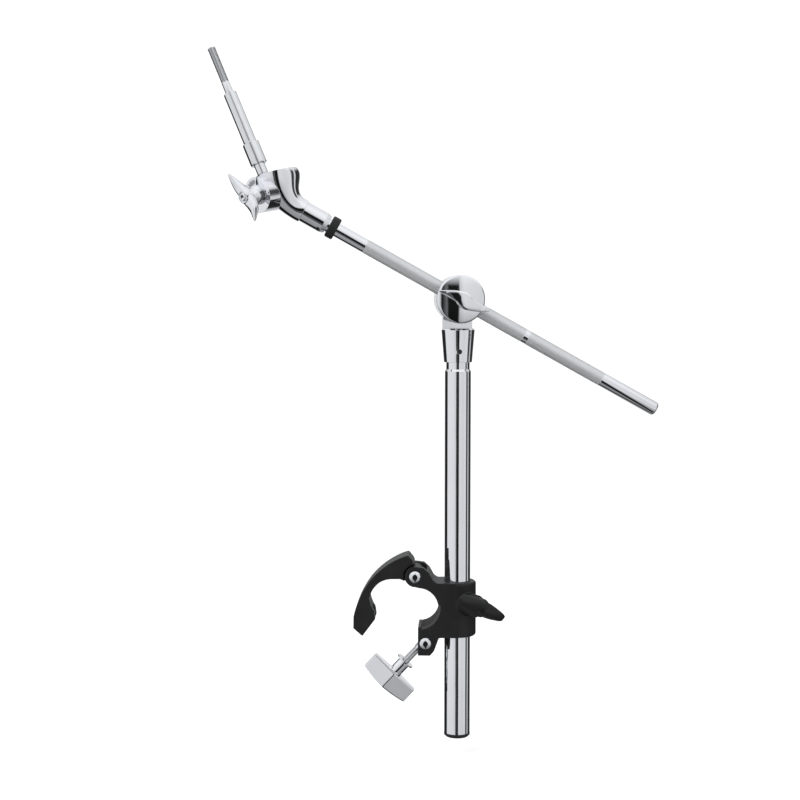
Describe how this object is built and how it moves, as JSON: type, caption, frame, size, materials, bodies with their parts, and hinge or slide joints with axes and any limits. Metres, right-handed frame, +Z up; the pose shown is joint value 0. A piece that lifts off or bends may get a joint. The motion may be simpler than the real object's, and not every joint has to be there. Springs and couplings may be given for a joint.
{
  "type": "cymbal boom arm with rack clamp",
  "caption": "Cymbal boom arm on a short post: hinged pipe clamp with a bar knob, geared boom tilter, knurled rod and a tilting threaded cymbal rod",
  "frame": {"origin": "middle of the clamped rack pipe, halfway through the clamp", "axes": "+X from the pipe axis to the post, +Y along the pipe away from the side with the hand nuts, +Z up along the post"},
  "size_m": [0.4325, 0.0867, 0.6675],
  "materials": {
    "black_plastic": "fine-grained satin black nylon",
    "grey_rubber": "dull grey rubber",
    "bright_steel": "bright zinc-plated steel",
    "chrome": "polished chrome",
    "knurled_steel": "chromed steel with a fine diamond knurl"
  },
  "bodies": {
    "clamp": {"clamp_body": "black_plastic", "arm_pivot_pin": "bright_steel", "bolt_pivot_pin": "bright_steel", "jaw_pad": "grey_rubber", "lock_nut": "bright_steel"},
    "arm": {"clamp_arm": "black_plastic"},
    "bolt": {"swing_bolt": "bright_steel"},
    "knob_ring": {"knob_washer": "bright_steel"},
    "knob": {"clamp_knob": "chrome"},
    "stud": {"lock_stud": "bright_steel"},
    "wing": {"lock_wing": "black_plastic"},
    "post_foot": {"post_end_cap": "black_plastic"},
    "post": {"post_tube": "chrome", "tilter_base": "chrome", "base_set_screw": "bright_steel"},
    "drum": {"tilter_drum": "chrome", "rod_eye_bolt": "bright_steel", "tilt_axle_screw": "bright_steel"},
    "nut_ring": {"tilter_washer": "bright_steel"},
    "nut": {"tilter_nut": "chrome"},
    "ring": {"stop_ring": "black_plastic"},
    "boom": {"boom_rod": "knurled_steel", "neck_sleeve": "chrome", "neck_set_screw": "bright_steel", "cymbal_housing": "chrome", "cymbal_tilt_bolt": "bright_steel"},
    "cymbal_arm": {"cymbal_rod": "bright_steel", "cymbal_seat": "bright_steel", "rod_collar": "bright_steel"},
    "wing_nut_ring": {"cymbal_washer": "bright_steel"},
    "wing_nut": {"cymbal_wing_nut": "chrome"}
  },
  "joints": [
    {"name": "arm_swing", "type": "hinge", "parent": "clamp", "child": "arm", "pos_m": [-0.0033, 0, 0.0301], "axis": [0, -1, 0], "range_deg": [-12, 40]},
    {"name": "bolt_swing", "type": "hinge", "parent": "clamp", "child": "bolt", "pos_m": [0.0069, 0, -0.035], "axis": [0, 1, 0], "range_deg": [-30, 28]},
    {"name": "knob_travel", "type": "slide", "parent": "bolt", "child": "knob_ring", "axis": [-0.6845, 0, -0.729], "range_m": [0, 0.005]},
    {"name": "knob_turn", "type": "hinge", "parent": "knob_ring", "child": "knob", "pos_m": [0.0069, 0, -0.035], "axis": [-0.6845, 0, -0.729], "range_deg": [0, 1440]},
    {"name": "stud_travel", "type": "slide", "parent": "clamp", "child": "stud", "axis": [0.6018, -0.7986, 0], "range_m": [0, 0.0025]},
    {"name": "wing_turn", "type": "hinge", "parent": "stud", "child": "wing", "pos_m": [0.0374, 0, 0.0035], "axis": [0.6018, -0.7986, 0], "range_deg": [0, 720]},
    {"name": "post_slide", "type": "slide", "parent": "clamp", "child": "post_foot", "axis": [0, 0, 1], "range_m": [-0.14, 0.09]},
    {"name": "post_turn", "type": "hinge", "parent": "post_foot", "child": "post", "pos_m": [0.0374, 0, 0], "axis": [0, 0, 1], "range_deg": [-180, 180]},
    {"name": "boom_tilt", "type": "hinge", "parent": "post", "child": "drum", "pos_m": [0.0374, 0, 0.298], "axis": [-0.1167, 0.9932, 0], "range_deg": [-60, 16]},
    {"name": "nut_travel", "type": "slide", "parent": "drum", "child": "nut_ring", "axis": [0.1167, -0.9932, 0], "range_m": [0, 0.0025]},
    {"name": "nut_turn", "type": "hinge", "parent": "nut_ring", "child": "nut", "pos_m": [0.0374, 0, 0.298], "axis": [0.1167, -0.9932, 0], "range_deg": [0, 720]},
    {"name": "boom_slide", "type": "slide", "parent": "drum", "child": "ring", "axis": [-0.867, -0.1018, 0.4879], "range_m": [-0.1, 0.185]},
    {"name": "boom_turn", "type": "hinge", "parent": "ring", "child": "boom", "pos_m": [0.03851, -0.00944, 0.298], "axis": [0.867, 0.1018, -0.4879], "range_deg": [-180, 180]},
    {"name": "cymbal_tilt", "type": "hinge", "parent": "boom", "child": "cymbal_arm", "pos_m": [-0.13896, -0.03028, 0.39786], "axis": [-0.6166, -0.7723, -0.1526], "range_deg": [-44, 0]},
    {"name": "wing_nut_travel", "type": "slide", "parent": "boom", "child": "wing_nut_ring", "axis": [-0.6166, -0.7723, -0.1526], "range_m": [0, 0.0025]},
    {"name": "wing_nut_turn", "type": "hinge", "parent": "wing_nut_ring", "child": "wing_nut", "pos_m": [-0.13896, -0.03028, 0.39786], "axis": [-0.6166, -0.7723, -0.1526], "range_deg": [0, 720]}
  ],
  "couplings": [
    {"joint": "knob_turn", "follows": "knob_travel", "rad_per_m": 5026.5},
    {"joint": "wing_turn", "follows": "stud_travel", "rad_per_m": 5026.5},
    {"joint": "nut_turn", "follows": "nut_travel", "rad_per_m": 5026.5},
    {"joint": "wing_nut_turn", "follows": "wing_nut_travel", "rad_per_m": 5026.5}
  ]
}
